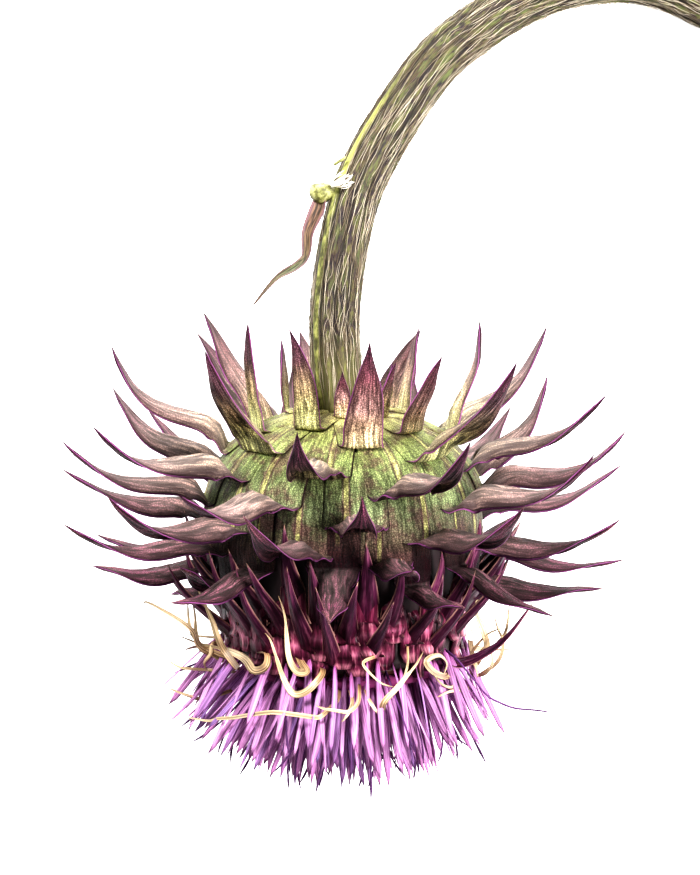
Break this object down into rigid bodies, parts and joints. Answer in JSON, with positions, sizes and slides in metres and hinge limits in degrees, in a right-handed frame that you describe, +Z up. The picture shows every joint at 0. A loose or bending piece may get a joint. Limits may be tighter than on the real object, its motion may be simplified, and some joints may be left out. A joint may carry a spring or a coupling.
{
  "type": "dried thistle flower head",
  "caption": "Nodding thistle flower head on its cut arched stem, lying on its side: spiny overlapping bracts round a green cup, straw ribbons and a brush of purple florets.",
  "frame": {"origin": "centre of the bottom of the bounding box, on the surface that the flower lies on", "axes": "+Z up from the surface; +Y along the head's axis from the florets towards the stem, the longest extent; +X towards the side that the stem arches to"},
  "size_m": [0.0864, 0.1009, 0.0659],
  "materials": {
    "stem": "ribbed plant stem with a matted coat of pale hairs",
    "leaf": "withered leaf",
    "bract": "stiff leathery bracts, green at the neck and crimson at the mouth",
    "straw": "dry papery straw",
    "petal": "thin matt petals"
  },
  "bodies": {
    "root": {"stem": "stem", "stem_leaf": "leaf", "involucre": "bract", "dry_bracts": "straw", "florets": "petal"}
  },
  "joints": []
}
